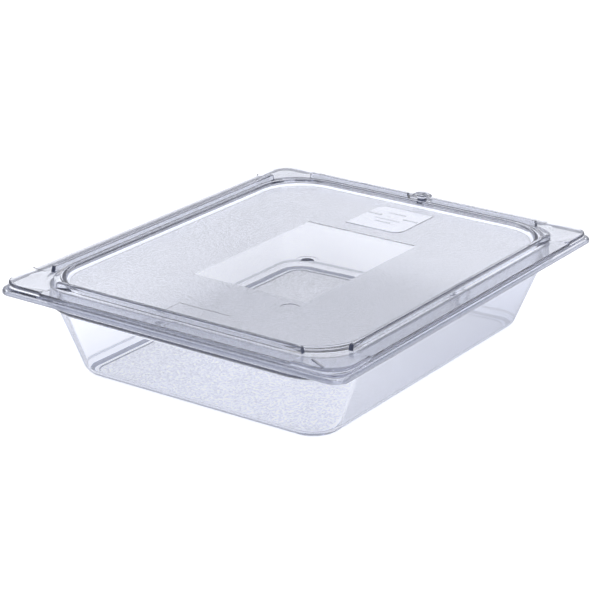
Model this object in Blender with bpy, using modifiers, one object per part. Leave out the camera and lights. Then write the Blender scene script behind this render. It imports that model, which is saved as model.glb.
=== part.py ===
"""Half-size food pan with its lift-off lid, in clear polycarbonate.

Three pieces: the moulded pan, the moulded lid that lies on its rim, and the
mushroom peg pressed into the lid's edge. X is the short way, Y the long way,
Z up, with the origin at the middle of the pan's underside. Sizes in metres.
"""

from math import cos, pi, radians, sin, tan

import bmesh
import bpy

# Pan
PAN_WIDTH = 0.265
PAN_LENGTH = 0.325
PAN_HEIGHT = 0.0635
PAN_WALL = 0.0025
RIM_CORNER = 0.010
RIM_LIP = 0.0047
RIM_EDGE_ROUND = 0.0030
RIM_WIDTH = 0.0165
RIM_INNER_ROUND = 0.0030
POCKET_CORNER = 0.032
POCKET_DEPTH = 0.0125
POCKET_DRAFT = 0.0003
SHOULDER_STEP = 0.0036
SHOULDER_DROP = 0.0024
SHOULDER_TOP_BEND = (0.0006, 0.0007)
SHOULDER_LOW_BEND = (0.0011, 0.0011)
WALL_SLOPE = radians(20.0)
FLOOR_CORNER = 0.017
FLOOR_ROUND = 0.0078

# Lid
LID_WALL = 0.0022
LID_FILLET = 0.0008
LID_EDGE_INSET = 0.0012
LID_CORNER = 0.017
SEAT_GAP = 0.0003
PLUG_CLEARANCE = 0.0033
PANEL_DROP = 0.0027
PANEL_CORNER = 0.035
RIDGE_RISE = 0.0016
RIDGE_WIDTH = 0.0034
RIDGE_SLOPE_RUN = 0.0045
EAR_RISE = 0.0013
EAR_LENGTH = 0.036
EAR_STEP_RUN = 0.0006
RAIL_HEIGHT = 0.0044
RAIL_WIDTH = 0.0034
RAIL_DRAFT = 0.0002
RAIL_END_SLOPE = 0.0012
RAIL_END_INSET = 0.0372
RAIL_SINK = 0.0008
RAIL_TO_PEG = 0.0018

# Peg
PEG_FORWARD = 0.0029
PEG_CAP_RADIUS = 0.0072
PEG_CAP_TOP_RADIUS = 0.0054
PEG_CAP_HEIGHT = 0.0017
PEG_CAP_BAND = 0.0004
PEG_CAP_UNDERCUT = 0.0006
PEG_NECK_RADIUS = 0.0032
PEG_FOOT_FLARE = 0.0004
PEG_FOOT_HEIGHT = 0.0006
PEG_HEIGHT = 0.0052
PEG_STEM_RADIUS = 0.0020
PEG_CLEARANCE = 0.0003

# Facets of a quarter turn, and of the whole peg
CORNER_STEPS = 8
ROUND_STEPS = 4
PEG_STEPS = 40

# Derived places
HALF_X = PAN_WIDTH / 2
HALF_Y = PAN_LENGTH / 2
LID_TOP = PAN_HEIGHT + SEAT_GAP + LID_WALL
PANEL_TOP = LID_TOP - PANEL_DROP
RIDGE_TOP = LID_TOP + RIDGE_RISE
PANEL_INSET = RIM_WIDTH + PLUG_CLEARANCE + LID_WALL
RIDGE_INSET = PANEL_INSET - RIDGE_WIDTH
RAIL_INSET = RIDGE_INSET - RAIL_WIDTH / 2
PEG_Y = HALF_Y - RAIL_INSET + PEG_FORWARD


def clear_scene():
    for obj in list(bpy.data.objects):
        bpy.data.objects.remove(obj)


def new_collection(name):
    collection = bpy.data.collections.new(name)
    bpy.context.scene.collection.children.link(collection)
    return collection


def polycarbonate(name, color, roughness):
    material = bpy.data.materials.new(name)
    material.use_nodes = True
    shader = material.node_tree.nodes["Principled BSDF"]
    shader.inputs["Base Color"].default_value = (*color, 1.0)
    shader.inputs["Roughness"].default_value = roughness
    shader.inputs["Metallic"].default_value = 0.0
    shader.inputs["IOR"].default_value = 1.585
    shader.inputs["Transmission Weight"].default_value = 0.9
    return material


def new_object(name, bm, collection, material=None):
    mesh = bpy.data.meshes.new(name)
    bm.to_mesh(mesh)
    bm.free()
    obj = bpy.data.objects.new(name, mesh)
    collection.objects.link(obj)
    if material:
        mesh.materials.append(material)
    return obj


def quarter_turn(inset, top, radius, outward):
    """(inset, z) points of a round edge that joins a flat top at z = top to a side.

    The side lies `radius` further in than inset, or further out with outward set.
    """
    points = []
    for step in range(ROUND_STEPS + 1):
        angle = pi / 2 * step / ROUND_STEPS
        run = radius * sin(angle)
        points.append((inset - run if outward else inset + run, top - radius * (1 - cos(angle))))
    return points


def side_corners(half_x, half_y, radius, near, far):
    """One quarter of a rounded rectangle, from the middle of +Y round to the middle of +X.

    near and far are the extra stops on the straight runs along X and along Y.
    """
    center_x = half_x - radius
    center_y = half_y - radius
    points = [(stop, half_y) for stop in near]
    for step in range(CORNER_STEPS + 1):
        angle = pi / 2 * (1 - step / CORNER_STEPS)
        points.append((center_x + radius * cos(angle), center_y + radius * sin(angle)))
    points += [(half_x, stop) for stop in reversed(far)]
    return points


def rounded_ring(bm, inset, z, radius, near=(), far=()):
    """A closed ring of vertices, clockwise from above, inset from the pan's outer edge."""
    quarter = side_corners(HALF_X - inset, HALF_Y - inset, radius, near, far)
    ring = []
    for sign_x, sign_y in ((1, 1), (1, -1), (-1, -1), (-1, 1)):
        points = quarter if sign_x * sign_y > 0 else quarter[::-1]
        ring += [bm.verts.new((sign_x * x, sign_y * y, z)) for x, y in points]
    return ring


def loft(bm, rings):
    """Joins the rings, innermost first, so that the faces point up."""
    for inner, outer in zip(rings, rings[1:]):
        for i in range(len(inner)):
            after = (i + 1) % len(inner)
            bm.faces.new((inner[after], outer[after], outer[i], inner[i]))
    bm.faces.new(rings[0][::-1])


def thicken(obj, thickness):
    """Gives an upward surface its wall, on the side away from its faces' normals."""
    solidify = obj.modifiers.new("wall", "SOLIDIFY")
    solidify.thickness = thickness
    solidify.offset = -1.0
    solidify.use_even_offset = True
    solidify.use_quality_normals = True


def smooth(obj, sharp_degrees=40.0):
    obj.data.shade_smooth()
    obj.data.set_sharp_from_angle(angle=radians(sharp_degrees))


def pan_profile():
    """(inset, z, corner radius) of the pan's upper and inner surface, from the floor to the lip."""
    shoulder_top = PAN_HEIGHT - POCKET_DEPTH
    shoulder_inset = RIM_WIDTH + POCKET_DRAFT
    wall_top = shoulder_top - SHOULDER_DROP
    wall_inset = shoulder_inset + SHOULDER_STEP
    floor_inset = wall_inset + (wall_top - PAN_WALL) * tan(WALL_SLOPE)
    tangent = FLOOR_ROUND * tan((pi / 2 - WALL_SLOPE) / 2)
    flat_inset = floor_inset + tangent
    profile = []
    for step in range(ROUND_STEPS + 1):
        angle = (pi / 2 - WALL_SLOPE) * step / ROUND_STEPS
        inset = flat_inset - FLOOR_ROUND * sin(angle)
        z = PAN_WALL + FLOOR_ROUND * (1 - cos(angle))
        profile.append((inset, z, FLOOR_CORNER - (inset - floor_inset)))
    wall_corner = POCKET_CORNER - SHOULDER_STEP / 2
    profile.append((wall_inset, wall_top, wall_corner))
    run, rise = SHOULDER_LOW_BEND
    profile.append((wall_inset - run, wall_top + rise, wall_corner))
    run, rise = SHOULDER_TOP_BEND
    profile.append((shoulder_inset + run, shoulder_top - rise, POCKET_CORNER))
    profile.append((shoulder_inset, shoulder_top, POCKET_CORNER))
    inner_edge = quarter_turn(RIM_WIDTH - RIM_INNER_ROUND, PAN_HEIGHT, RIM_INNER_ROUND, outward=False)
    for inset, z in reversed(inner_edge):
        profile.append((inset, z, POCKET_CORNER + RIM_WIDTH - inset))
    for inset, z in quarter_turn(RIM_EDGE_ROUND, PAN_HEIGHT, RIM_EDGE_ROUND, outward=True):
        profile.append((inset, z, RIM_CORNER - inset))
    profile.append((0.0, PAN_HEIGHT - RIM_LIP, RIM_CORNER))
    return profile


def make_pan(collection):
    bm = bmesh.new()
    loft(bm, [rounded_ring(bm, *stop) for stop in pan_profile()])
    pan = new_object("pan", bm, collection, polycarbonate("pan_clear", (0.86, 0.87, 0.93), 0.08))
    thicken(pan, PAN_WALL)
    smooth(pan)
    return pan


def lid_profile():
    """(inset, z, corner radius) of the lid's upper surface, from the panel out to the flange."""
    flange_inset = RIDGE_INSET - RIDGE_SLOPE_RUN
    return [
        (PANEL_INSET + LID_FILLET, PANEL_TOP, PANEL_CORNER - LID_FILLET),
        (PANEL_INSET, PANEL_TOP + LID_FILLET, PANEL_CORNER),
        (PANEL_INSET, RIDGE_TOP, PANEL_CORNER),
        (RIDGE_INSET, RIDGE_TOP, PANEL_CORNER + RIDGE_WIDTH),
        (flange_inset, LID_TOP, PANEL_CORNER + RIDGE_WIDTH + RIDGE_SLOPE_RUN),
    ]


def ear_stops(half, inset, radius):
    """Where an ear's step starts and ends on a straight run, or just before a rounder corner."""
    step = min(half - EAR_LENGTH, half - inset - radius - 2 * EAR_STEP_RUN)
    return (step, step + EAR_STEP_RUN)


def make_lid_plate(collection):
    """The lid's panel, ridge and flange, whose four corners turn up as ears."""
    bm = bmesh.new()
    rings = []
    for inset, z, radius in [*lid_profile(), (LID_EDGE_INSET, LID_TOP, LID_CORNER)]:
        near = ear_stops(HALF_X, inset, radius)
        far = ear_stops(HALF_Y, inset, radius)
        rings.append(rounded_ring(bm, inset, z, radius, near, far))
    ear_x = HALF_X - EAR_LENGTH + EAR_STEP_RUN / 2
    ear_y = HALF_Y - EAR_LENGTH + EAR_STEP_RUN / 2
    for vert in rings[-1]:
        if abs(vert.co.x) > ear_x and abs(vert.co.y) > ear_y:
            vert.co.z += EAR_RISE
    loft(bm, rings)
    lid = new_object("lid", bm, collection, polycarbonate("lid_clear", (0.82, 0.83, 0.92), 0.15))
    thicken(lid, LID_WALL)
    return lid


def rail_bar(name, start, end, collection):
    """A drafted bar on the lid from start to end, which are the (x, y) of its two ends."""
    (x0, y0), (x1, y1) = start, end
    along_x = abs(x1 - x0) > abs(y1 - y0)
    length = abs(x1 - x0) if along_x else abs(y1 - y0)
    base = LID_TOP - RAIL_SINK
    height = RAIL_HEIGHT + RAIL_SINK
    bm = bmesh.new()
    bmesh.ops.create_cube(bm, size=1.0)
    size = (length, RAIL_WIDTH, height) if along_x else (RAIL_WIDTH, length, height)
    bmesh.ops.scale(bm, verts=bm.verts, vec=size)
    draft_x, draft_y = (RAIL_END_SLOPE, RAIL_DRAFT) if along_x else (RAIL_DRAFT, RAIL_END_SLOPE)
    for vert in bm.verts:
        if vert.co.z > 0:
            vert.co.x -= draft_x if vert.co.x > 0 else -draft_x
            vert.co.y -= draft_y if vert.co.y > 0 else -draft_y
    middle = ((x0 + x1) / 2, (y0 + y1) / 2, base + height / 2)
    bmesh.ops.translate(bm, verts=bm.verts, vec=middle)
    return new_object(name, bm, collection)


def make_rails(collection):
    """Four rails beside the ridge; the one on +Y stops either side of the peg."""
    rail_x = HALF_X - RAIL_INSET
    rail_y = HALF_Y - RAIL_INSET
    end_x = HALF_X - RAIL_END_INSET
    end_y = HALF_Y - RAIL_END_INSET
    gap = PEG_CAP_RADIUS + RAIL_TO_PEG
    runs = {
        "rail_front": ((-end_x, -rail_y), (end_x, -rail_y)),
        "rail_back_left": ((-end_x, rail_y), (-gap, rail_y)),
        "rail_back_right": ((gap, rail_y), (end_x, rail_y)),
        "rail_left": ((-rail_x, -end_y), (-rail_x, end_y)),
        "rail_right": ((rail_x, -end_y), (rail_x, end_y)),
    }
    return [rail_bar(name, start, end, collection) for name, (start, end) in runs.items()]


def peg_cutter(name, radius, bottom, top, collection):
    bm = bmesh.new()
    bmesh.ops.create_cone(
        bm, cap_ends=True, segments=PEG_STEPS, radius1=radius, radius2=radius, depth=top - bottom
    )
    bmesh.ops.translate(bm, verts=bm.verts, vec=(0.0, PEG_Y, (bottom + top) / 2))
    return new_object(name, bm, collection)


def make_peg_cutters(collection):
    """The stem's hole, and a flat seat for the foot where it meets the ridge's slope."""
    hole = PEG_STEM_RADIUS + PEG_CLEARANCE
    seat = PEG_NECK_RADIUS + PEG_FOOT_FLARE + PEG_CLEARANCE
    above = LID_TOP + RIDGE_RISE + RAIL_HEIGHT
    below = LID_TOP - 2 * LID_WALL
    return [
        peg_cutter("peg_hole", hole, below, above, collection),
        peg_cutter("peg_seat", seat, LID_TOP, above, collection),
    ]


def as_helper(obj):
    obj.hide_render = True
    obj.display_type = "WIRE"


def join_shape(obj, other, operation):
    boolean = obj.modifiers.new(other.name, "BOOLEAN")
    boolean.operation = operation
    boolean.solver = "EXACT"
    boolean.object = other
    as_helper(other)


def make_lid(collection, helpers):
    lid = make_lid_plate(collection)
    for rail in make_rails(helpers):
        join_shape(lid, rail, "UNION")
    for cutter in make_peg_cutters(helpers):
        join_shape(lid, cutter, "DIFFERENCE")
    smooth(lid)
    return lid


def make_peg(collection):
    """A turned mushroom peg: flat-topped cap over a waist, and a stem through the lid."""
    foot = LID_TOP + PEG_CLEARANCE
    top = LID_TOP + PEG_HEIGHT
    cap_edge = top - PEG_CAP_HEIGHT
    profile = [
        (0.0, top),
        (PEG_CAP_TOP_RADIUS, top),
        (PEG_CAP_RADIUS, cap_edge + PEG_CAP_BAND),
        (PEG_CAP_RADIUS, cap_edge),
        (PEG_NECK_RADIUS, cap_edge - PEG_CAP_UNDERCUT),
        (PEG_NECK_RADIUS, foot + PEG_FOOT_HEIGHT),
        (PEG_NECK_RADIUS + PEG_FOOT_FLARE, foot),
        (PEG_STEM_RADIUS, foot),
        (PEG_STEM_RADIUS, LID_TOP - LID_WALL),
        (0.0, LID_TOP - LID_WALL),
    ]
    bm = bmesh.new()
    verts = [bm.verts.new((radius, 0.0, z)) for radius, z in profile]
    for a, b in zip(verts, verts[1:]):
        bm.edges.new((a, b))
    peg = new_object("lid_peg", bm, collection, polycarbonate("peg_clear", (0.88, 0.89, 0.94), 0.06))
    screw = peg.modifiers.new("turn", "SCREW")
    screw.steps = PEG_STEPS
    screw.render_steps = PEG_STEPS
    screw.use_merge_vertices = True
    screw.merge_threshold = 0.00001
    peg.location = (0.0, PEG_Y, 0.0)
    smooth(peg)
    return peg


def main():
    clear_scene()
    collection = new_collection("food_pan")
    helpers = new_collection("helpers")
    make_pan(collection)
    make_lid(collection, helpers)
    make_peg(collection)


main()
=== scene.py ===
"""Clear food pan: the moulded pan, its lid and peg, and the studio they stand in.

X is the short way of the pan, Y the long way, Z up; lengths are in metres.
"""

from collections import namedtuple
from math import ceil, copysign, cos, hypot, pi, radians, sin, sqrt, tan

import bmesh
import bpy
from bpy.props import FloatProperty, FloatVectorProperty, PointerProperty
from mathutils import Matrix, Vector


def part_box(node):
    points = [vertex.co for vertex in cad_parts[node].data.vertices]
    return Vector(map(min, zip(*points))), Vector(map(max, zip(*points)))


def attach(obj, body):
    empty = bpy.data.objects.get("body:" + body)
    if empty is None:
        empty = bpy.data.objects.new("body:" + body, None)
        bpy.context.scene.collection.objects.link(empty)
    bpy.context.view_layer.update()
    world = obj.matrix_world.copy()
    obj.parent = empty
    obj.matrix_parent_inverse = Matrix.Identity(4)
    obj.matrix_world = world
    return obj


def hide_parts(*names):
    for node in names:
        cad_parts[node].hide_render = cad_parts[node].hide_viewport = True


bl_info = {
    "name": "Clear food pan",
    "version": (1, 0, 0),
    "blender": (4, 5, 0),
    "location": "3D View > Sidebar > Food Pan",
    "description": "Builds a clear food pan with its lid and peg, and a studio to show it in",
    "category": "Add Mesh",
}

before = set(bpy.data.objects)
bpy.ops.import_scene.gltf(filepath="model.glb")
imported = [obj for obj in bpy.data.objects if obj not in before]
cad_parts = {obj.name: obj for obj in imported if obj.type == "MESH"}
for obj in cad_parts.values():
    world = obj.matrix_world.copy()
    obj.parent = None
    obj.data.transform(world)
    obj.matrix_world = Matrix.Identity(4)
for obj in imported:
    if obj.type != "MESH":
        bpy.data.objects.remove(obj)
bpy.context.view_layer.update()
PAN_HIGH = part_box("pan")[1]
LID_LOW, LID_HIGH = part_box("lid")
PEG_LOW, PEG_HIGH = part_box("lid_peg")

# How finely round shapes are divided
CORNER_STEPS = 20
BEND_STEP = radians(12.0)
TURN_STEPS = 64
ROUNDING_STEPS = 4
PLAQUE_STEPS = 8
SPHERE_STEPS = 32

# Shading: edges sharper than this stay crisp, and flat faces lead the normals by this weight
SHARP_ANGLE = radians(38.0)
FLAT_FACE_WEIGHT = 80

# Face attributes that the plastic reads: the frosted faces, the strength of the painted edge shade, and the
# steepness that scales the painted glancing shade
FROST = "frost"
EDGE_SHADE = "painted_edge_shade"
UPRIGHT = "upright"

# A flat face's normal stands at least this high. A face counts as level down to the second value,
# and as upright once it is below that by the fade
FLAT_NORMAL = 0.99
LEVEL_NORMAL = 0.85
STEEP_FADE = 0.5

# Polycarbonate: its grain, its milky share, and how gently its surface ripples; then how far the painted edge
# shade keeps light from passing, and how fast the painted glancing shade fades in
PLASTIC_IOR = 1.585
GRAIN_SCALE = 620.0
GRAIN_DEPTH = 0.00012
GRAIN_STRENGTH = 0.6
FLOW_SCALE = 24.0
FLOW_DEPTH = 0.0004
FLOW_STRENGTH = 0.25
WEAR_SCALE = 35.0
MIDDLE_OF_NOISE = 0.5
MILKINESS = 0.22
# Painted shade: the share of light that the dark edge tint keeps from passing, and the fade of the glancing
# shade
SHADE_OPACITY = 0.6
SHADE_FADE = 0.2

# The light table
FLOOR_GAP = 0.0004
FLOOR_HALF = 8.0
FLOOR_ROUGHNESS = 0.7
FLOOR_SHINE = 0.2
FLOOR_CLOUD_SCALE = 1.5
FLOOR_CLOUD_SHADE = 0.985
LIGHT_BOUNCES = 64


def length(name, description, default):
    return FloatProperty(name=name, description=description, default=default, unit="LENGTH", precision=5)


def angle(name, description, degrees):
    return FloatProperty(name=name, description=description, default=radians(degrees), subtype="ANGLE")


def amount(name, description, default):
    return FloatProperty(name=name, description=description, default=default)


def power(name, description, default):
    return FloatProperty(name=name, description=description, default=default, unit="POWER")


def tint(name, description, default):
    return FloatVectorProperty(name=name, description=description, default=default, size=3, subtype="COLOR")


class PanSizes(bpy.types.PropertyGroup):
    wall: length("Wall", "Thickness of the pan's walls", 0.0025)
    rim_width: length("Rim width", "Flat rim, from its outer edge to the pocket's wall", 0.0165)
    rim_corner: length("Rim corner", "Radius of the rim's corners seen from above", 0.010)
    rim_round: length("Rim rounding", "Rounding of the rim's two upper edges", 0.003)
    lip_drop: length("Lip", "How far the rim's edge hangs down", 0.0047)
    pocket_depth: length("Pocket depth", "Upright wall from the rim down to the shoulder", 0.0125)
    pocket_corner: length("Pocket corner", "Radius of the pocket's corners", 0.032)
    pocket_draft: length("Pocket draft", "How far the pocket's wall leans in", 0.0003)
    shoulder_step: length("Shoulder step", "How far the shoulder stands out of the wall below", 0.0036)
    shoulder_drop: length("Shoulder drop", "Height of the shoulder's slope", 0.0024)
    wall_slope: angle("Wall slope", "Lean of the main walls", 20.0)
    floor_corner: length("Floor corner", "Radius of the floor's corners", 0.017)
    floor_round: length("Floor rounding", "Rounding between the floor and the walls", 0.0078)
    frost_margin: length("Frost margin", "Clear band round the frosted floor", 0.0015)
    frost_step: length("Frost step", "How far the frosted floor is sunk", 0.0005)


class LidSizes(bpy.types.PropertyGroup):
    wall: length("Wall", "Thickness of the lid", 0.0022)
    edge_corner: length("Edge corner", "Radius of the lid's outer corners", 0.017)
    edge_round: length("Edge rounding", "Rounding of the flange's upper edge", 0.0014)
    panel_inset: length("Panel inset", "From the pan's edge to the wall of the sunk panel", 0.022)
    panel_corner: length("Panel corner", "Radius of the sunk panel's corners", 0.035)
    frost_inset: length("Frost inset", "From the pan's edge to the frosted area", 0.0245)
    frost_step: length("Frost step", "How far the frosted area is sunk", 0.00015)
    ridge_width: length("Ridge width", "Flat top of the low ridge round the panel", 0.0034)
    ridge_rise: length("Ridge rise", "Height of the ridge over the flange", 0.0016)
    ridge_run: length("Ridge slope", "Run of the ridge's outer slope", 0.0045)
    window_x: length("Window half width", "Half of the clear window, along X", 0.0445)
    window_y: length("Window half length", "Half of the clear window, along Y", 0.0674)
    window_corner: length("Window corner", "Radius of the window's corners", 0.0016)
    window_step: length("Window step", "How far the window is sunk", 0.0005)
    ear_rise: length("Ear rise", "How far the corners are turned up", 0.0013)
    ear_length: length("Ear length", "From the pan's edge to the step where an ear starts", 0.0365)
    ear_step: length("Ear step", "Run of the step where an ear starts", 0.0012)
    ear_flap: length("Ear flap", "From the lid's edge to the crease at an ear's step", 0.0116)
    rail_width: length("Rail width", "Thickness of the rails", 0.0034)
    rail_end: length("Rail end", "From the pan's edge to the rails' ends", 0.0372)
    rail_gap: length("Rail gap", "Half of the gap that the peg stands in", 0.009)
    rail_round: length("Rail rounding", "Rounding of the rails' upper edges", 0.0008)
    mark_height: length("Mark height", "How far the plaque and the marks stand up", 0.00035)


class PegSizes(bpy.types.PropertyGroup):
    cap_top: length("Cap top", "Radius of the cap's flat top", 0.0054)
    cap_height: length("Cap height", "Height of the cap", 0.0017)
    neck: length("Neck", "Radius of the neck", 0.0032)
    foot: length("Foot", "Radius of the foot", 0.0036)
    stem: length("Stem", "Radius of the stem in the lid", 0.002)
    clearance: length("Clearance", "Gap between the peg and the lid", 0.0003)


class PlasticLook(bpy.types.PropertyGroup):
    lid_tint: tint("Lid tint", "Colour of the lid's surface", (0.975, 0.98, 1.0))
    pan_tint: tint("Pan tint", "Colour of the pan's surface", (0.92, 0.93, 0.965))
    etch_tint: tint("Etch tint", "Colour of the etched grain", (0.86, 0.875, 0.94))
    # Painted shade: the dark slate colour laid on faces seen edge on, standing in for the dark lines the
    # clear plastic shows there
    edge_shade_tint: tint("Edge tint", "Colour of the plastic seen edge on", (0.20, 0.235, 0.38))
    depth_color: tint("Depth colour", "Colour that deep plastic turns", (0.30, 0.34, 0.54))
    depth_density: amount("Density", "How fast deep plastic darkens, per metre", 17.0)
    polish: amount("Polish", "Roughness of the clear areas", 0.015)
    frost: amount("Frost", "Roughness of the pan's frosted floor", 0.12)
    lid_frost: amount("Lid frost", "Roughness of the lid's frosted panel", 0.175)


class StudioLook(bpy.types.PropertyGroup):
    azimuth: angle("Azimuth", "Camera's turn round the pan", 33.49)
    elevation: angle("Elevation", "Camera's height angle", 20.74)
    roll: angle("Roll", "Camera's tilt", 0.956)
    distance: length("Distance", "From the camera to its aim", 1.4346)
    aim_height: length("Aim height", "Height of the camera's aim over the table", 0.040)
    aim_right: length("Aim right", "How far the aim is moved to the camera's right", 0.004908)
    aim_up: length("Aim up", "How far the aim is moved up, as the camera sees it", -0.00534)
    lens: amount("Lens", "Focal length in millimetres", 127.6)
    shift: amount("Shift", "Sideways shift of the camera's view", -0.0233)
    floor_color: tint("Floor", "Colour of the floor", (0.93, 0.935, 0.95))
    floor_glow: amount("Floor glow", "Light that comes up through the floor", 0.92)
    top_power: power("Top light", "Power of the overhead softbox", 7.0)
    strip_power: power("Strip light", "Power of the narrow softbox", 5.0)
    overhead: tint("Overhead", "Light from the tent's roof", (1.0, 1.0, 1.0))
    backdrop: tint("Backdrop", "Light from the white screen behind the pan", (0.95, 0.96, 1.0))
    dim_side: tint("Dim side", "Light from the dim room in front", (0.06, 0.09, 0.20))
    room_strength: amount("Room strength", "Strength of the room's light", 0.5)


class FoodPan(bpy.types.PropertyGroup):
    pan: PointerProperty(type=PanSizes)
    lid: PointerProperty(type=LidSizes)
    peg: PointerProperty(type=PegSizes)
    plastic: PointerProperty(type=PlasticLook)
    studio: PointerProperty(type=StudioLook)


# Sections: a ring is a rounded rectangle, held as (half x, half y, height, corner radius)


def ring_inset(inset, z, corner):
    return Vector((PAN_HIGH.x - inset, PAN_HIGH.y - inset, z, corner))


def rounded_section(stops):
    """Rings through the stops of a section, each a (ring, radius of its bend)."""
    rings = [stops[0][0]]
    for (before, _), (here, radius), (after, _) in zip(stops, stops[1:], stops[2:]):
        if not radius:
            rings.append(here)
            continue
        back = before - here
        ahead = after - here
        back_flat = Vector((back.x, back.z))
        ahead_flat = Vector((ahead.x, ahead.z))
        turn = pi - back_flat.angle(ahead_flat)
        reach = radius * tan(turn / 2)
        start = here + back * (reach / back_flat.length)
        end = here + ahead * (reach / ahead_flat.length)
        steps = max(2, ceil(turn / BEND_STEP))
        for step in range(steps + 1):
            t = step / steps
            shares = ((1 - t) ** 2, 2 * t * (1 - t) * cos(turn / 2), t**2)
            rings.append((start * shares[0] + here * shares[1] + end * shares[2]) / sum(shares))
    rings.append(stops[-1][0])
    return rings


def start_plate(bm, ring):
    """A flat plate with round corners, which is the first ring of a section."""
    verts = bmesh.ops.create_grid(bm, x_segments=1, y_segments=1, size=1.0)["verts"]
    bmesh.ops.scale(bm, vec=(ring.x, ring.y, 1.0), verts=verts)
    bmesh.ops.translate(bm, vec=(0.0, 0.0, ring.z), verts=verts)
    bmesh.ops.bevel(
        bm, geom=verts, offset=ring.w, offset_type="OFFSET", segments=CORNER_STEPS, profile=0.5,
        affect="VERTICES", material=-1,
    )
    return bm.edges[:]


def carry_loop(bm, edges, here, there):
    """Extrudes the loop at one ring to the next, keeping each corner's arc about its own centre."""
    made = bmesh.ops.extrude_edge_only(bm, edges=edges)["geom"]
    verts = {item for item in made if isinstance(item, bmesh.types.BMVert)}
    arc_here = Vector((here.x - here.w, here.y - here.w))
    arc_there = Vector((there.x - there.w, there.y - there.w))
    for vert in verts:
        side = Vector((copysign(1.0, vert.co.x), copysign(1.0, vert.co.y)))
        spoke = (vert.co.xy - side * arc_here) / here.w
        vert.co.xy = side * arc_there + spoke * there.w
        vert.co.z = there.z
    loop = [item for item in made if isinstance(item, bmesh.types.BMEdge) and set(item.verts) <= verts]
    faces = [item for item in made if isinstance(item, bmesh.types.BMFace)]
    return loop, faces


def body_of_section(bm, rings, belt_half=None):
    """A closed body from the middle of its upper face out and back to the middle of its underside.

    Returns the faces whose two rings both reach out to belt_half.
    """
    edges = start_plate(bm, rings[0])
    belt = []
    for here, there in zip(rings, rings[1:]):
        edges, faces = carry_loop(bm, edges, here, there)
        if belt_half and min(here.x, there.x) > belt_half:
            belt += faces
    bmesh.ops.contextual_create(bm, geom=edges)
    bmesh.ops.recalc_face_normals(bm, faces=bm.faces[:])
    return belt


# Pieces: building blocks


def new_piece(name, bm):
    mesh = bpy.data.meshes.new(name)
    bm.to_mesh(mesh)
    bm.free()
    obj = bpy.data.objects.new(name, mesh)
    bpy.context.scene.collection.objects.link(obj)
    return obj


def bar(bm, low, high, draft=(0.0, 0.0), rounding=0.0, turn=0.0):
    """A box between two corners, narrower at its top by the draft, with its upper edges rounded."""
    verts = bmesh.ops.create_cube(bm, size=1.0)["verts"]
    size = high - low
    bmesh.ops.scale(bm, vec=size, verts=verts)
    top = [vert for vert in verts if vert.co.z > 0]
    shrink = ((size.x - 2 * draft[0]) / size.x, (size.y - 2 * draft[1]) / size.y, 1.0)
    bmesh.ops.scale(bm, vec=shrink, verts=top)
    bmesh.ops.rotate(bm, matrix=Matrix.Rotation(turn, 3, "Z"), verts=verts)
    bmesh.ops.translate(bm, vec=(low + high) / 2, verts=verts)
    if rounding:
        edges = [edge for edge in bm.edges if all(vert in top for vert in edge.verts)]
        bmesh.ops.bevel(
            bm, geom=edges, offset=rounding, offset_type="OFFSET", segments=ROUNDING_STEPS, profile=0.5,
            affect="EDGES", material=-1,
        )


def disc(bm, place, radius, height, slope=0.0):
    """A round plug, narrower at its bottom by the slope."""
    bmesh.ops.create_cone(
        bm, cap_ends=True, segments=TURN_STEPS, radius1=radius - slope, radius2=radius, depth=height,
        matrix=Matrix.Translation(place),
    )


def evaluated_mesh(obj):
    """The object's mesh with its modifiers applied."""
    graph = bpy.context.evaluated_depsgraph_get()
    return bpy.data.meshes.new_from_object(obj.evaluated_get(graph))


def join_bodies(obj, other, operation):
    """Adds the other object's shape to obj or cuts it away, and removes the other object."""
    boolean = obj.modifiers.new(operation.lower(), "BOOLEAN")
    boolean.operation = operation
    boolean.solver = "EXACT"
    boolean.use_self = True
    boolean.object = other
    obj.data = evaluated_mesh(obj)
    obj.modifiers.clear()
    bpy.data.objects.remove(other)


def shade(obj):
    """Smooth faces, with crisp edges where the surface really turns."""
    obj.data.shade_smooth()
    obj.data.set_sharp_from_angle(angle=SHARP_ANGLE)
    weighted = obj.modifiers.new("weighted normals", "WEIGHTED_NORMAL")
    weighted.keep_sharp = True
    weighted.weight = FLAT_FACE_WEIGHT


def mark_faces(obj, attribute, value_of):
    """Writes a number on each face, for the material to read."""
    values = [float(value_of(face)) for face in obj.data.polygons]
    layer = obj.data.attributes.new(attribute, "FLOAT", "FACE")
    layer.data.foreach_set("value", values)


def steepness(face):
    """From 0 on level faces to 1 on upright ones: how much of the painted edge shade a face gets."""
    return min(1.0, max(0.0, (LEVEL_NORMAL - abs(face.normal.z)) / STEEP_FADE))


def stand_for(obj, node, body, material):
    """Puts the finished piece in place of its CAD node, on the body that carries it."""
    obj.data.materials.clear()
    obj.data.materials.append(material)
    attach(obj, body)
    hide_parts(node)


# Materials


def noise_node(nodes, links, coordinates, scale, detail):
    noise = nodes.new("ShaderNodeTexNoise")
    noise.inputs["Scale"].default_value = scale
    noise.inputs["Detail"].default_value = detail
    links.new(coordinates, noise.inputs["Vector"])
    return noise.outputs["Fac"]


def attribute_node(nodes, attribute):
    node = nodes.new("ShaderNodeAttribute")
    node.attribute_name = attribute
    return node.outputs["Fac"]


def math_node(nodes, links, operation, first, second):
    node = nodes.new("ShaderNodeMath")
    node.operation = operation
    for socket, value in zip(node.inputs, (first, second)):
        if isinstance(value, float):
            socket.default_value = value
        else:
            links.new(value, socket)
    return node.outputs["Value"]


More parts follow.
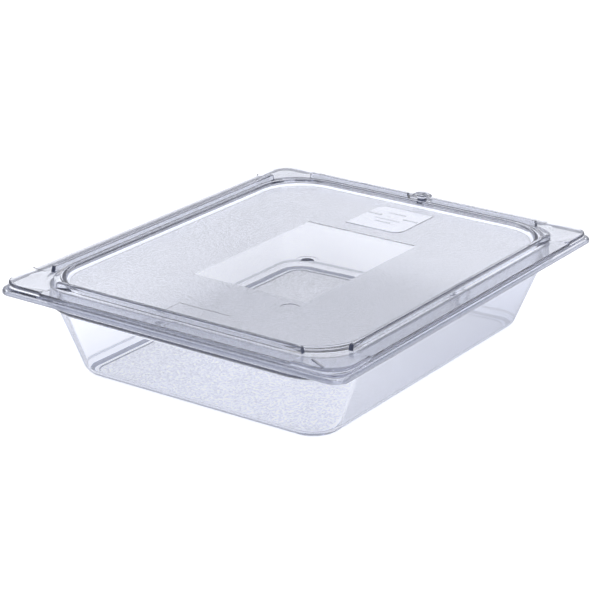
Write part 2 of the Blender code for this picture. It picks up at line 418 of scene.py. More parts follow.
def mix_colors(nodes, links, share, first, second):
    """The first colour where the share is 0 and the second where it is 1."""
    mix = nodes.new("ShaderNodeMix")
    mix.data_type = "RGBA"
    links.new(share, mix.inputs["Factor"])
    for socket, color in zip((mix.inputs["A"], mix.inputs["B"]), (first, second)):
        if isinstance(color, bpy.types.NodeSocket):
            links.new(color, socket)
        else:
            socket.default_value = (*color, 1.0)
    return mix.outputs["Result"]


def map_node(nodes, links, value, low, high):
    """Where the value lies between low and high, from 0 to 1."""
    node = nodes.new("ShaderNodeMapRange")
    node.inputs["From Min"].default_value = low
    node.inputs["From Max"].default_value = high
    links.new(value, node.inputs["Value"])
    return node.outputs["Result"]


def bump_node(nodes, links, height, strength, depth):
    node = nodes.new("ShaderNodeBump")
    node.inputs["Strength"].default_value = strength
    node.inputs["Distance"].default_value = depth
    links.new(height, node.inputs["Height"])
    return node


# A piece's plastic: its tint, how strongly and how evenly its frosted faces are etched, their
# roughness, and how far it is turned away, from 0 to 1, where the painted glancing shade starts
Finish = namedtuple("Finish", ("tint", "etching", "evenness", "frost", "edge_start"))


def clear_plastic(name, look, finish):
    """Polycarbonate: polished where the mould is, etched where the frost attribute is 1."""
    material = bpy.data.materials.new(name)
    material.use_nodes = True
    nodes = material.node_tree.nodes
    links = material.node_tree.links
    shader = nodes["Principled BSDF"]
    shader.inputs["IOR"].default_value = PLASTIC_IOR
    coordinates = nodes.new("ShaderNodeTexCoord").outputs["Object"]
    frost = attribute_node(nodes, FROST)

    # The etched grain is a little milky
    grain = noise_node(nodes, links, coordinates, GRAIN_SCALE, 1.0)
    etched = math_node(nodes, links, "MULTIPLY", grain, frost)
    low = MIDDLE_OF_NOISE - finish.evenness
    high = MIDDLE_OF_NOISE + finish.evenness
    haze = math_node(nodes, links, "MULTIPLY", map_node(nodes, links, etched, low, high), finish.etching)
    color = mix_colors(nodes, links, haze, finish.tint, look.etch_tint)

    # Painted shade: the base colour turns to the dark edge tint, and less light passes, on faces marked edge
    # on and where steep faces are seen at a glancing angle
    facing = nodes.new("ShaderNodeLayerWeight").outputs["Facing"]
    graze_shade = map_node(nodes, links, facing, finish.edge_start, finish.edge_start + SHADE_FADE)
    graze_shade = math_node(nodes, links, "MULTIPLY", graze_shade, attribute_node(nodes, UPRIGHT))
    edge = math_node(nodes, links, "MAXIMUM", attribute_node(nodes, EDGE_SHADE), graze_shade)
    links.new(mix_colors(nodes, links, edge, color, look.edge_shade_tint), shader.inputs["Base Color"])
    milky = math_node(nodes, links, "MULTIPLY", haze, -MILKINESS)
    shade_opacity = math_node(nodes, links, "MULTIPLY", edge, -SHADE_OPACITY)
    milk_and_shade = math_node(nodes, links, "ADD", milky, shade_opacity)
    links.new(math_node(nodes, links, "ADD", milk_and_shade, 1.0), shader.inputs["Transmission Weight"])

    # Clear faces run from half to one and a half times the polish, with the wear of handling
    wear = noise_node(nodes, links, coordinates, WEAR_SCALE, 3.0)
    wear = math_node(nodes, links, "MULTIPLY", wear, look.polish)
    rough = math_node(nodes, links, "MULTIPLY", frost, finish.frost - look.polish)
    rough = math_node(nodes, links, "ADD", rough, look.polish / 2)
    links.new(math_node(nodes, links, "ADD", rough, wear), shader.inputs["Roughness"])

    # The grain stands on the slow ripple that the mould's flow leaves
    flow = noise_node(nodes, links, coordinates, FLOW_SCALE, 1.0)
    ripple = bump_node(nodes, links, flow, FLOW_STRENGTH, FLOW_DEPTH)
    etch = bump_node(nodes, links, etched, GRAIN_STRENGTH, GRAIN_DEPTH)
    links.new(ripple.outputs["Normal"], etch.inputs["Normal"])
    links.new(etch.outputs["Normal"], shader.inputs["Normal"])

    depth = nodes.new("ShaderNodeVolumeAbsorption")
    depth.inputs["Color"].default_value = (*look.depth_color, 1.0)
    depth.inputs["Density"].default_value = look.depth_density
    links.new(depth.outputs["Volume"], nodes["Material Output"].inputs["Volume"])
    return material


def lit_floor(color, glow):
    """A pale light table: matt acrylic that also glows a little from below."""
    material = bpy.data.materials.new("pale_floor")
    material.use_nodes = True
    nodes = material.node_tree.nodes
    links = material.node_tree.links
    shader = nodes["Principled BSDF"]
    shader.inputs["Roughness"].default_value = FLOOR_ROUGHNESS
    shader.inputs["Specular IOR Level"].default_value = FLOOR_SHINE
    shader.inputs["Emission Color"].default_value = (*color, 1.0)
    shader.inputs["Emission Strength"].default_value = glow
    coordinates = nodes.new("ShaderNodeTexCoord").outputs["Object"]
    cloud = noise_node(nodes, links, coordinates, FLOOR_CLOUD_SCALE, 2.0)
    ramp = nodes.new("ShaderNodeValToRGB")
    ramp.color_ramp.elements[0].color = (*[channel * FLOOR_CLOUD_SHADE for channel in color], 1.0)
    ramp.color_ramp.elements[1].color = (*color, 1.0)
    links.new(cloud, ramp.inputs["Fac"])
    links.new(ramp.outputs["Color"], shader.inputs["Base Color"])
    return material


# The pan


# Bends of the pan's section that are too small to change by themselves
SHOULDER_BEND = 0.0012
LIP_BEND = 0.0007
UNDER_LIP_BEND = 0.0008
UNDER_RIM_BEND = 0.0010
SKIN_SHOULDER_BEND = 0.0032
SKIN_WALL_BEND = 0.0028

# The outer skin under the shoulder leans by this, and drops by this share of the shoulder's slope
SKIN_SHOULDER_LEAN = radians(28.0)
SKIN_SHOULDER_DROP = 0.9


def pan_rings(sizes):
    """The pan's section, from the middle of the floor up to the rim and back underneath."""
    rim = PAN_HIGH.z
    shoulder = rim - sizes.pocket_depth
    wall_top = shoulder - sizes.shoulder_drop
    pocket = sizes.rim_width + sizes.pocket_draft
    wall_inset = pocket + sizes.shoulder_step
    lean = tan(sizes.wall_slope)
    floor_inset = wall_inset + (wall_top - sizes.wall) * lean
    wall_corner = sizes.pocket_corner - sizes.shoulder_step / 2
    tangent = sizes.floor_round * tan((pi / 2 - sizes.wall_slope) / 2)
    frost = floor_inset + tangent + sizes.frost_margin
    frost_corner = sizes.floor_corner - (frost - floor_inset)
    # The outer skin lies one wall away, along each stretch's own normal
    skin = sizes.wall
    outer_pocket = pocket - skin
    outer_shoulder = shoulder - skin * tan(SKIN_SHOULDER_LEAN)
    outer_top = outer_shoulder - sizes.shoulder_drop * SKIN_SHOULDER_DROP
    outer_wall = outer_pocket + sizes.shoulder_step
    outer_floor = floor_inset - skin / cos(sizes.wall_slope) + sizes.wall * lean
    under_rim = rim - skin
    lip = rim - sizes.lip_drop
    stops = [
        (ring_inset(frost + sizes.frost_step, sizes.wall - sizes.frost_step, frost_corner), 0.0),
        (ring_inset(frost, sizes.wall, frost_corner), 0.0),
        (ring_inset(floor_inset, sizes.wall, sizes.floor_corner), sizes.floor_round),
        (ring_inset(wall_inset, wall_top, wall_corner), SHOULDER_BEND),
        (ring_inset(pocket, shoulder, sizes.pocket_corner), SHOULDER_BEND),
        (ring_inset(sizes.rim_width, rim, sizes.pocket_corner), sizes.rim_round),
        (ring_inset(0.0, rim, sizes.rim_corner), sizes.rim_round),
        (ring_inset(0.0, lip, sizes.rim_corner), LIP_BEND),
        (ring_inset(skin, lip, sizes.rim_corner - skin), LIP_BEND),
        (ring_inset(skin, under_rim, sizes.rim_corner - skin), UNDER_LIP_BEND),
        (ring_inset(outer_pocket, under_rim, sizes.pocket_corner + skin), UNDER_RIM_BEND),
        (ring_inset(outer_pocket, outer_shoulder, sizes.pocket_corner + skin), SKIN_SHOULDER_BEND),
        (ring_inset(outer_wall, outer_top, wall_corner + skin), SKIN_WALL_BEND),
        (ring_inset(outer_floor, 0.0, sizes.floor_corner + skin), sizes.floor_round + skin),
        (ring_inset(frost, 0.0, frost_corner), 0.0),
    ]
    return rounded_section(stops)


# How much painted edge shade the pan's rim and bottom get, and the painted dark lines along the bottom, each
# as (lowest and highest normal, strength): the rounding's lower and upper end, and the floor's step
PAN_RIM_SHADE = 0.55
PAN_BOTTOM_SHADE = 0.1
ROUNDING_SHADE_LINES = ((-0.97, -0.8, 0.9), (-0.5, -0.3, 0.4))
FLOOR_STEP_SHADE_LINE = (0.2, 0.95, 0.9)


def pan_edge_shade(sizes):
    """The function that tells how much painted edge shade a face of the pan gets."""
    rim_x = PAN_HIGH.x - sizes.rim_round
    rim_y = PAN_HIGH.y - sizes.rim_round

    def painted_edge_shade(face):
        height = face.center.z
        up = face.normal.z
        if abs(face.center.x) > rim_x or abs(face.center.y) > rim_y:
            return PAN_RIM_SHADE * steepness(face)
        if height > sizes.floor_round:
            return 0.0
        lines = (*ROUNDING_SHADE_LINES, FLOOR_STEP_SHADE_LINE) if height < sizes.wall else ROUNDING_SHADE_LINES
        for low, high, strength in lines:
            if low < up < high:
                return strength
        return PAN_BOTTOM_SHADE * steepness(face)

    return painted_edge_shade


class FOODPAN_OT_pan(bpy.types.Operator):
    """Moulds the clear pan, from its frosted floor to its rounded rim"""

    bl_idname = "food_pan.make_pan"
    bl_label = "Pan"

    def execute(self, context):
        settings = context.scene.food_pan
        look = settings.plastic
        bm = bmesh.new()
        body_of_section(bm, pan_rings(settings.pan))
        pan = new_piece("pan_moulding", bm)
        shade(pan)
        floor = settings.pan.wall - settings.pan.frost_step / 2
        mark_faces(pan, FROST, lambda face: face.normal.z > FLAT_NORMAL and face.center.z < floor)
        # Painted edge shade on the pan's rim and in dark lines along its bottom
        mark_faces(pan, EDGE_SHADE, pan_edge_shade(settings.pan))
        mark_faces(pan, UPRIGHT, steepness)
        finish = Finish(look.pan_tint, etching=1.2, evenness=0.1, frost=look.frost, edge_start=0.58)
        stand_for(pan, "pan", "pan_body", clear_plastic("pan_plastic", look, finish))
        return {"FINISHED"}


# The lid


# Bends of the lid's section that are too small to change by themselves
PANEL_BEND = 0.0012
RIDGE_BEND = 0.0009
RIDGE_FOOT_BEND = 0.0010
UNDER_EDGE_BEND = 0.0006
UNDER_RIDGE_BEND = 0.0006
PLUG_TOP_BEND = 0.0005
PLUG_FOOT_BEND = 0.0026

# The hollow under the ridge starts inside its foot by this share of the wall
UNDER_RIDGE_START = 0.3
UNDERSIDE_MARGIN = 0.002


# The flange's level belt starts this far outside the ridge's foot
BELT_MARGIN = 0.0008


def ridge_foot(sizes):
    """From the pan's edge to the foot of the ridge's outer slope."""
    return sizes.panel_inset - sizes.ridge_width - sizes.ridge_run


def lid_rings(sizes):
    """The lid's section, from the middle of its window out to the flange's edge and back underneath."""
    panel = LID_LOW.z + sizes.wall
    flange = PEG_LOW.z + sizes.wall
    ridge = flange + sizes.ridge_rise
    edge = PAN_HIGH.x - LID_HIGH.x
    ridge_inset = sizes.panel_inset - sizes.ridge_width
    foot = ridge_inset - sizes.ridge_run
    plug = sizes.panel_inset - sizes.wall
    under_ridge = ridge - sizes.wall
    arc = sizes.panel_inset + sizes.panel_corner

    def around(inset, z):
        return ring_inset(inset, z, arc - inset)

    window = Vector((sizes.window_x, sizes.window_y, panel, sizes.window_corner))
    sunk = Vector((sizes.window_step, sizes.window_step, sizes.window_step, sizes.window_step / 2))
    frosted = panel - sizes.frost_step
    stops = [
        (window - sunk, 0.0),
        (window - Vector((0.0, 0.0, sizes.frost_step, 0.0)), 0.0),
        (around(sizes.frost_inset, frosted), 0.0),
        (around(sizes.frost_inset - sizes.frost_step, panel), 0.0),
        (around(sizes.panel_inset, panel), PANEL_BEND),
        (around(sizes.panel_inset, ridge), RIDGE_BEND),
        (around(ridge_inset, ridge), RIDGE_BEND),
        (around(foot, flange), RIDGE_FOOT_BEND),
        (ring_inset(edge, flange, sizes.edge_corner), sizes.edge_round),
        (ring_inset(edge, PEG_LOW.z, sizes.edge_corner), UNDER_EDGE_BEND),
        (around(foot + sizes.wall * UNDER_RIDGE_START, PEG_LOW.z), RIDGE_FOOT_BEND),
        (around(ridge_inset, under_ridge), UNDER_RIDGE_BEND),
        (around(plug, under_ridge), PLUG_TOP_BEND),
        (around(plug, LID_LOW.z), PLUG_FOOT_BEND),
        (around(sizes.frost_inset + UNDERSIDE_MARGIN, LID_LOW.z), 0.0),
    ]
    return rounded_section(stops)


# A vertex this close to a slicing plane counts as on it
ON_PLANE = 1e-7

# Vertices past this share of an ear's step are turned up with it
PAST_STEP = 0.9


def slice_geometry(bm, geometry, point, normal):
    """Cuts edges and faces along a plane, and returns all that there is afterwards."""
    cut = bmesh.ops.bisect_plane(bm, geom=geometry, dist=ON_PLANE, plane_co=point, plane_no=normal)
    return cut["geom"]


def with_edges(faces):
    """The faces with their edges and vertices, each once."""
    found = set()
    for face in faces:
        found.add(face)
        found.update(face.edges)
        found.update(face.verts)
    return list(found)


def faces_in_corner(geometry, near):
    """The faces that lie past near along both axes, in any of the four corners."""
    return [
        item for item in geometry
        if isinstance(item, bmesh.types.BMFace)
        and abs(item.calc_center_median().x) > near.x and abs(item.calc_center_median().y) > near.y
    ]


def turn_up_ears(bm, belt, sizes):
    """Turns up the flange's four corners: a step at each end, two flaps, and a facet between two creases."""
    edge = PAN_HIGH.x - LID_HIGH.x
    start = Vector((PAN_HIGH.x - sizes.ear_length, PAN_HIGH.y - sizes.ear_length))
    tip = edge + sizes.edge_corner * (1 - sqrt(0.5))
    flap = edge + sizes.ear_flap
    geometry = with_edges(belt)
    for axis in (0, 1):
        for side in (1, -1):
            for run in (0.0, sizes.ear_step):
                point = Vector((0.0, 0.0, 0.0))
                normal = Vector((0.0, 0.0, 0.0))
                point[axis] = side * (start[axis] + run)
                normal[axis] = side
                geometry = slice_geometry(bm, geometry, point, normal)
    corner = with_edges(faces_in_corner(geometry, start))
    for x_side in (1, -1):
        for y_side in (1, -1):
            tip_place = Vector((x_side * (PAN_HIGH.x - tip), y_side * (PAN_HIGH.y - tip), 0.0))
            along_x = Vector((x_side * start.x, y_side * (PAN_HIGH.y - flap), 0.0))
            along_y = Vector((x_side * (PAN_HIGH.x - flap), y_side * start.y, 0.0))
            for one, other in ((along_x, tip_place), (along_y, tip_place), (along_x, along_y)):
                here = with_edges(
                    item for item in faces_in_corner(corner, start)
                    if item.calc_center_median().x * x_side > 0 and item.calc_center_median().y * y_side > 0
                )
                rest = set(corner).difference(here)
                normal = (other - one).cross(Vector((0.0, 0.0, 1.0))).normalized()
                corner = [*rest, *slice_geometry(bm, here, one, normal)]
    base_depth = (sizes.ear_length + flap) / 2
    arc_x = LID_HIGH.x - sizes.edge_corner
    arc_y = LID_HIGH.y - sizes.edge_corner
    for vert in {item for item in corner if isinstance(item, bmesh.types.BMVert)}:
        x, y = abs(vert.co.x), abs(vert.co.y)
        if x < start.x + sizes.ear_step * PAST_STEP or y < start.y + sizes.ear_step * PAST_STEP:
            continue
        out_x, out_y = x - arc_x, y - arc_y
        reach = hypot(out_x, out_y) if min(out_x, out_y) > 0 else max(out_x, out_y)
        on_flap = 1 - (sizes.edge_corner - reach) / sizes.ear_flap
        depth = (PAN_HIGH.x - x + PAN_HIGH.y - y) / 2
        on_facet = (base_depth - depth) / (base_depth - tip)
        vert.co.z += sizes.ear_rise * min(1.0, max(on_flap, on_facet, 0.0))


# Rails lean in by the first draft at their ends and by the second along their sides
RAIL_DRAFT = 0.0012
RAIL_SIDE_DRAFT = 0.0002
RIB_OVERLAP = 0.0004

# The short rib across one front corner, from its start to its end
CROSS_RIB_START = Vector((0.1055, -0.1509, 0.0))
CROSS_RIB_END = Vector((0.1182, -0.1585, 0.0))
CROSS_RIB_HALF_WIDTH = 0.0012
CROSS_RIB_HEIGHT = 0.0018
CROSS_RIB_DRAFT = (0.0004, 0.0003)
CROSS_RIB_ROUND = 0.0003


def lid_ribs(sizes):
    """The four rails, the back one parted for the peg, and a short rib on top of one front corner."""
    bm = bmesh.new()
    bottom = PEG_LOW.z + sizes.wall - RIB_OVERLAP
    outer = sizes.panel_inset - sizes.ridge_width - sizes.rail_width
    inner = outer + sizes.rail_width
    end_x = PAN_HIGH.x - sizes.rail_end
    end_y = PAN_HIGH.y - sizes.rail_end
    across = ((-end_x, end_x, -1), (-end_x, -sizes.rail_gap, 1), (sizes.rail_gap, end_x, 1))
    for start, end, side in across:
        near, far = sorted((side * (PAN_HIGH.y - inner), side * (PAN_HIGH.y - outer)))
        low = Vector((start, near, bottom))
        high = Vector((end, far, LID_HIGH.z))
        bar(bm, low, high, draft=(RAIL_DRAFT, RAIL_SIDE_DRAFT), rounding=sizes.rail_round)
    for side in (1, -1):
        near, far = sorted((side * (PAN_HIGH.x - inner), side * (PAN_HIGH.x - outer)))
        low = Vector((near, -end_y, bottom))
        high = Vector((far, end_y, LID_HIGH.z))
        bar(bm, low, high, draft=(RAIL_SIDE_DRAFT, RAIL_DRAFT), rounding=sizes.rail_round)
    run = CROSS_RIB_END - CROSS_RIB_START
    middle = (CROSS_RIB_START + CROSS_RIB_END) / 2
    reach = Vector((run.length / 2, CROSS_RIB_HALF_WIDTH, 0.0))
    low = middle - reach + Vector((0.0, 0.0, bottom))
    high = middle + reach + Vector((0.0, 0.0, bottom + CROSS_RIB_HEIGHT))
    turn = run.xy.angle_signed(Vector((1.0, 0.0)))
    bar(bm, low, high, draft=CROSS_RIB_DRAFT, rounding=CROSS_RIB_ROUND, turn=turn)
    return new_piece("ribs", bm)


def plaque(bm, low, high, corner, rounded):
    """A flat plate between two corners, with two opposite corners round.

    Those are the two where X and Y have the same sign if rounded is 1, and opposite ones if it is -1.
    """
    others = bm.verts[:]
    verts = bmesh.ops.create_cube(bm, size=1.0)["verts"]
    bmesh.ops.scale(bm, vec=high - low, verts=verts)
    edges = [
        edge for edge in bm.edges
        if edge.verts[0] in verts
        and abs(edge.verts[0].co.z - edge.verts[1].co.z) > 0
        and edge.verts[0].co.x * edge.verts[0].co.y * rounded > 0
    ]
    bmesh.ops.bevel(
        bm, geom=edges, offset=corner, offset_type="OFFSET", segments=PLAQUE_STEPS, profile=0.5,
        affect="EDGES", material=-1,
    )
    plate = [vert for vert in bm.verts if vert not in others]
    bmesh.ops.translate(bm, vec=(low + high) / 2, verts=plate)


# The plaque behind the window: its corners seen from above, how deep it roots in the panel, and the
# marks on it, each as (from x, to x, middle y, width)
PLAQUE_LOW = Vector((-0.022, 0.081))
PLAQUE_HIGH = Vector((0.022, 0.128))
PLAQUE_CORNER = 0.008
PLAQUE_ROOT = 0.0008
MARKS = (
    (-0.021, -0.010, 0.1095, 0.0016), (0.009, 0.020, 0.1085, 0.0016),
    (-0.008, 0.006, 0.1160, 0.0009), (-0.011, 0.009, 0.1020, 0.0009), (-0.007, 0.005, 0.0960, 0.0009),
)
MARK_ROOT = 0.0002
MARK_RISE = 0.0004


def lid_marks(sizes):
    """The plaque behind the window, with a dash at each side and three generic bars."""
    panel = LID_LOW.z + sizes.wall
    face = panel + sizes.mark_height
    low = Vector((*PLAQUE_LOW, panel - PLAQUE_ROOT))
    high = Vector((*PLAQUE_HIGH, face))
    bm = bmesh.new()
    plaque(bm, low, high, PLAQUE_CORNER, -1)
    for start, end, middle, width in MARKS:
        low = Vector((start, middle - width / 2, face - MARK_ROOT))
        high = Vector((end, middle + width / 2, face + MARK_RISE))
        bar(bm, low, high)
    return new_piece("marks", bm)


# What is sunk into the panel: the gate's dimple and the round halo about it, a ring mark to one
# side, and a flat plate near the front edge
DIMPLE_RADIUS = 0.0046
DIMPLE_DEPTH = 0.0012
HALO_RADIUS = 0.0080
HALO_MIDDLE = 0.0008
HALO_THICKNESS = 0.0020
RING_MARK_X = 0.0410
RING_MARK_Y = -0.0805
RING_MARK_RADIUS = 0.0065
RING_MARK_MIDDLE = 0.00085
RING_MARK_THICKNESS = 0.0026
SUNK_SLOPE = 0.0003
PLATE_LOW = Vector((-0.0200, -0.1300, -0.0004))
PLATE_HIGH = Vector((0.0200, -0.1150, 0.002))


def lid_cutters(sizes, peg):
    """What is cut out of the lid: the peg's hole and seat, the dimple, its halo, the ring mark, the plate."""
    bm = bmesh.new()
    panel = LID_LOW.z + sizes.wall
    window = panel - sizes.window_step
    flange = PEG_LOW.z + sizes.wall
    peg_y = (PEG_LOW.y + PEG_HIGH.y) / 2
    disc(bm, (0.0, peg_y, flange), peg.stem + peg.clearance, 4 * sizes.wall)
    disc(bm, (0.0, peg_y, flange + sizes.wall), peg.foot + peg.clearance, 2 * sizes.wall)
    dimple = Matrix.Diagonal((DIMPLE_RADIUS, DIMPLE_RADIUS, DIMPLE_DEPTH, 1.0))
    bmesh.ops.create_uvsphere(
        bm, u_segments=TURN_STEPS, v_segments=SPHERE_STEPS, radius=1.0,
        matrix=Matrix.Translation((0.0, 0.0, window)) @ dimple,
    )
    disc(bm, (0.0, 0.0, window + HALO_MIDDLE), HALO_RADIUS, HALO_THICKNESS, slope=SUNK_SLOPE)
    ring_mark = (RING_MARK_X, RING_MARK_Y, panel + RING_MARK_MIDDLE)
    disc(bm, ring_mark, RING_MARK_RADIUS, RING_MARK_THICKNESS, slope=SUNK_SLOPE)
    level = Vector((0.0, 0.0, panel))
    bar(bm, PLATE_LOW + level, PLATE_HIGH + level)
    return new_piece("cutters", bm)


# How much painted edge shade the lid's faces get: the flange's edge, the rails' outer and inner sides,
# and the level belt between the ears
LID_FLANGE_SHADE = 0.7
RAIL_OUTER_SHADE = 0.85
RAIL_INNER_SHADE = 0.15
LID_BELT_SHADE = 0.16
BELT_NORMAL = 0.9


def lid_frosted(sizes):
    """The function that tells whether a face of the lid is frosted: the sunk panel round the window."""
    panel = LID_LOW.z + sizes.wall - sizes.frost_step / 2
    frost_x = PAN_HIGH.x - sizes.frost_inset
    frost_y = PAN_HIGH.y - sizes.frost_inset

    def is_frosted(face):
        x, y, z = abs(face.center.x), abs(face.center.y), face.center.z
        in_window = x < sizes.window_x and y < sizes.window_y
        return face.normal.z > FLAT_NORMAL and z < panel and x < frost_x and y < frost_y and not in_window

    return is_frosted


def lid_edge_shade(sizes):
    """The function that tells how much painted edge shade a face of the lid gets."""
    rail_foot = PEG_LOW.z + sizes.wall + sizes.ridge_rise / 2
    edge_x = LID_HIGH.x - sizes.edge_round
    edge_y = LID_HIGH.y - sizes.edge_round
    side_x = PAN_HIGH.x - sizes.ear_length
    side_y = PAN_HIGH.y - sizes.ear_length
    belt_x = PAN_HIGH.x - ridge_foot(sizes)
    belt_y = PAN_HIGH.y - ridge_foot(sizes)

    def painted_edge_shade(face):
        x, y = abs(face.center.x), abs(face.center.y)
        if x > edge_x or y > edge_y:
            return LID_FLANGE_SHADE * steepness(face)
        if face.center.z > rail_foot:
            outward = face.center.xy.dot(face.normal.xy) > 0
            return steepness(face) * (RAIL_OUTER_SHADE if outward else RAIL_INNER_SHADE)
        on_side = (x > belt_x and y < side_y) or (y > belt_y and x < side_x)
        return LID_BELT_SHADE if on_side and face.normal.z > BELT_NORMAL else 0.0

    return painted_edge_shade


class FOODPAN_OT_lid(bpy.types.Operator):
    """Moulds the lid: sunk panel with a clear window, ridge, rails and turned-up corners"""

    bl_idname = "food_pan.make_lid"
    bl_label = "Lid"

    def execute(self, context):
        settings = context.scene.food_pan
        look = settings.plastic
        sizes = settings.lid
        bm = bmesh.new()
        belt = body_of_section(bm, lid_rings(sizes), belt_half=PAN_HIGH.x - ridge_foot(sizes) - BELT_MARGIN)
        turn_up_ears(bm, belt, sizes)
        bmesh.ops.recalc_face_normals(bm, faces=bm.faces[:])
        lid = new_piece("lid_moulding", bm)
        join_bodies(lid, lid_ribs(sizes), "UNION")
        join_bodies(lid, lid_marks(sizes), "UNION")
        join_bodies(lid, lid_cutters(sizes, settings.peg), "DIFFERENCE")
        shade(lid)
        mark_faces(lid, FROST, lid_frosted(sizes))
        # Painted edge shade on the lid's flange edge, rails and level belt
        mark_faces(lid, EDGE_SHADE, lid_edge_shade(sizes))
        mark_faces(lid, UPRIGHT, steepness)
        finish = Finish(look.lid_tint, etching=1.0, evenness=0.3, frost=look.lid_frost, edge_start=0.60)
        stand_for(lid, "lid", "lid_body", clear_plastic("lid_plastic", look, finish))
        return {"FINISHED"}


# The peg


# Small steps and bends of the peg's outline
CAP_TOP_BEND = 0.0006
CAP_RIM = 0.0004
CAP_RIM_BEND = 0.0003
CAP_UNDER_BEND = 0.0002
CAP_UNDERCUT = 0.0006
NECK_BEND = 0.0006
FOOT_RISE = 0.0008
STEM_BEND = 0.0003
PEG_DOUBLES = 1e-6
# Painted edge shade on the peg's steep faces below the cap
PEG_NECK_SHADE = 0.8


class FOODPAN_OT_peg(bpy.types.Operator):
    """Turns the mushroom peg that stands in the gap of the back rail"""

    bl_idname = "food_pan.make_peg"
    bl_label = "Peg"

    def execute(self, context):
        settings = context.scene.food_pan
        look = settings.plastic
        sizes = settings.peg
        cap_radius = PEG_HIGH.x
        foot = PEG_LOW.z + settings.lid.wall + sizes.clearance
        cap_edge = PEG_HIGH.z - sizes.cap_height
        outline = [
            (0.0, PEG_HIGH.z, 0.0),
            (sizes.cap_top, PEG_HIGH.z, CAP_TOP_BEND),
            (cap_radius, cap_edge + CAP_RIM, CAP_RIM_BEND),
            (cap_radius, cap_edge, CAP_UNDER_BEND),
            (sizes.neck, cap_edge - CAP_UNDERCUT, NECK_BEND),
            (sizes.neck, foot + FOOT_RISE, 0.0),
            (sizes.foot, foot, 0.0),
            (sizes.stem, foot, 0.0),
            (sizes.stem, PEG_LOW.z, STEM_BEND),
            (0.0, PEG_LOW.z, 0.0),
        ]
        rings = rounded_section([(Vector((radius, radius, z, 0.0)), bend) for radius, z, bend in outline])
        bm = bmesh.new()
        verts = [bm.verts.new((ring.x, 0.0, ring.z)) for ring in rings]
        for one, other in zip(verts, verts[1:]):
            bm.edges.new((one, other))
        bmesh.ops.spin(
            bm, geom=bm.verts[:] + bm.edges[:], cent=(0.0, 0.0, 0.0), axis=(0.0, 0.0, 1.0), angle=2 * pi,
            steps=TURN_STEPS, use_merge=True,
        )
        bmesh.ops.remove_doubles(bm, verts=bm.verts[:], dist=PEG_DOUBLES)
        bmesh.ops.translate(bm, vec=(0.0, (PEG_LOW.y + PEG_HIGH.y) / 2, 0.0), verts=bm.verts[:])
        bmesh.ops.recalc_face_normals(bm, faces=bm.faces[:])
        peg = new_piece("peg_moulding", bm)
        shade(peg)
        mark_faces(peg, FROST, lambda face: False)
        # Painted edge shade on the peg's neck and foot
        mark_faces(peg, EDGE_SHADE, lambda face: PEG_NECK_SHADE * steepness(face) if face.center.z < cap_edge else 0.0)
        mark_faces(peg, UPRIGHT, steepness)
        finish = Finish(look.lid_tint, etching=0.0, evenness=0.1, frost=look.frost, edge_start=0.55)
        stand_for(peg, "lid_peg", "lid_body", clear_plastic("peg_plastic", look, finish))
        return {"FINISHED"}


# The studio


# The lights point at the middle of the table: each has its size and its place
TOP_LIGHT_SIZE = (2.2, 2.2)
TOP_LIGHT_PLACE = Vector((0.0, 0.2, 1.8))
STRIP_LIGHT_SIZE = (1.2, 0.12)
STRIP_LIGHT_PLACE = Vector((1.1, -1.0, 1.9))

# The tent's wall turns to its roof between these heights, and the dim room to the white screen
# between these shares of the way from the camera's side to the far one
WALL_TOP = radians(32.0)
ROOF_START = radians(54.0)
ROOM_END = -0.1
SCREEN_START = 0.5
SENSOR_WIDTH = 36.0


def area_light(name, watts, size, place):
    """A white softbox that points at the middle of the table."""
    light = bpy.data.lights.new(name, "AREA")
    light.shape = "RECTANGLE"
    light.size, light.size_y = size
    light.energy = watts
    obj = bpy.data.objects.new(name, light)
    obj.location = place
    obj.rotation_euler = (-place).to_track_quat("-Z", "Y").to_euler()
    bpy.context.scene.collection.objects.link(obj)


def place_camera(look):
    data = bpy.data.cameras.new("camera")
    data.sensor_width = SENSOR_WIDTH
    data.lens = look.lens
    data.shift_x = look.shift
    data.dof.use_dof = False
    camera = bpy.data.objects.new("camera", data)
    bpy.context.scene.collection.objects.link(camera)
    azimuth, elevation, roll = look.azimuth, look.elevation, look.roll
    back = Vector((sin(azimuth) * cos(elevation), -cos(azimuth) * cos(elevation), sin(elevation)))
    right = Vector((cos(azimuth), sin(azimuth), 0.0))
    up = back.cross(right)
    aim = Vector((0.0, 0.0, look.aim_height)) + right * look.aim_right + up * look.aim_up
    place = aim + back * look.distance
    turned_right = right * cos(roll) + up * sin(roll)
    turned_up = up * cos(roll) - right * sin(roll)
    turned = Matrix((turned_right, turned_up, back)).transposed()
    camera.matrix_world = Matrix.Translation(place) @ turned.to_4x4()
    bpy.context.scene.camera = camera


def sky_ramp(nodes, links, height, low_color, high_color):
    """The low colour up to the top of the tent's wall, and the high one from the roof's start."""
    ramp = nodes.new("ShaderNodeValToRGB")
    low, high = ramp.color_ramp.elements
    low.position = sin(WALL_TOP)
    low.color = (*low_color, 1.0)
    high.position = sin(ROOF_START)
    high.color = (*high_color, 1.0)
    links.new(height, ramp.inputs["Fac"])
    return ramp.outputs["Color"]


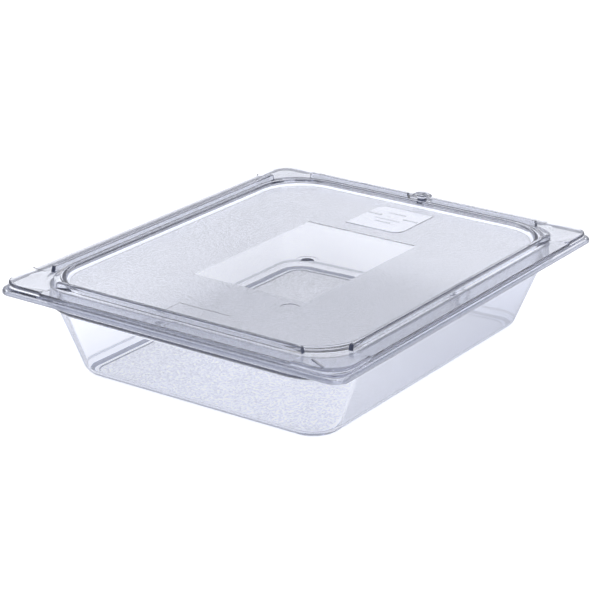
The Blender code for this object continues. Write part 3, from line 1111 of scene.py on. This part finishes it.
def light_room(look):
    """A bright roof, a white screen low down behind the pan, and a dim room in front of it."""
    world = bpy.data.worlds.new("room")
    world.use_nodes = True
    nodes = world.node_tree.nodes
    links = world.node_tree.links
    background = nodes["Background"]
    background.inputs["Strength"].default_value = look.room_strength
    direction = nodes.new("ShaderNodeTexCoord").outputs["Generated"]
    height = nodes.new("ShaderNodeSeparateXYZ")
    links.new(direction, height.inputs["Vector"])
    facing = nodes.new("ShaderNodeVectorMath")
    facing.operation = "DOT_PRODUCT"
    facing.inputs[1].default_value = (-sin(look.azimuth), cos(look.azimuth), 0.0)
    links.new(direction, facing.inputs[0])
    share = map_node(nodes, links, facing.outputs["Value"], ROOM_END, SCREEN_START)
    front = sky_ramp(nodes, links, height.outputs["Z"], look.dim_side, look.overhead)
    back = sky_ramp(nodes, links, height.outputs["Z"], look.backdrop, look.overhead)
    links.new(mix_colors(nodes, links, share, front, back), background.inputs["Color"])
    bpy.context.scene.world = world


class FOODPAN_OT_stage(bpy.types.Operator):
    """Sets the pale floor, the soft lights and the camera"""

    bl_idname = "food_pan.make_stage"
    bl_label = "Studio"

    def execute(self, context):
        look = context.scene.food_pan.studio
        bm = bmesh.new()
        bmesh.ops.create_grid(bm, x_segments=8, y_segments=8, size=FLOOR_HALF)
        bmesh.ops.translate(bm, vec=(0.0, 0.0, -FLOOR_GAP), verts=bm.verts[:])
        floor = new_piece("floor", bm)
        floor.data.materials.append(lit_floor(look.floor_color, look.floor_glow))
        area_light("top_light", look.top_power, TOP_LIGHT_SIZE, TOP_LIGHT_PLACE)
        area_light("strip_light", look.strip_power, STRIP_LIGHT_SIZE, STRIP_LIGHT_PLACE)
        light_room(look)
        place_camera(look)
        # Light passes many walls of clear plastic, which would turn black if its path were cut short
        paths = context.scene.cycles
        paths.max_bounces = LIGHT_BOUNCES
        paths.glossy_bounces = LIGHT_BOUNCES
        paths.transmission_bounces = LIGHT_BOUNCES
        view = context.scene.view_settings
        view.view_transform = "Standard"
        view.look = "None"
        return {"FINISHED"}


class FOODPAN_PT_panel(bpy.types.Panel):
    """Lists the food pan's pieces"""

    bl_idname = "FOODPAN_PT_panel"
    bl_label = "Food Pan"
    bl_space_type = "VIEW_3D"
    bl_region_type = "UI"
    bl_category = "Food Pan"

    def draw(self, context):
        for operator in OPERATORS:
            self.layout.operator(operator.bl_idname)


OPERATORS = (FOODPAN_OT_pan, FOODPAN_OT_lid, FOODPAN_OT_peg, FOODPAN_OT_stage)
GROUPS = (PanSizes, LidSizes, PegSizes, PlasticLook, StudioLook, FoodPan)
CLASSES = (*GROUPS, *OPERATORS, FOODPAN_PT_panel)


def register():
    for cls in CLASSES:
        bpy.utils.register_class(cls)
    bpy.types.Scene.food_pan = PointerProperty(type=FoodPan)


def unregister():
    del bpy.types.Scene.food_pan
    for cls in reversed(CLASSES):
        bpy.utils.unregister_class(cls)


def main():
    register()
    bpy.ops.food_pan.make_pan()
    bpy.ops.food_pan.make_lid()
    bpy.ops.food_pan.make_peg()
    bpy.ops.food_pan.make_stage()


if __name__ == "__main__":
    main()
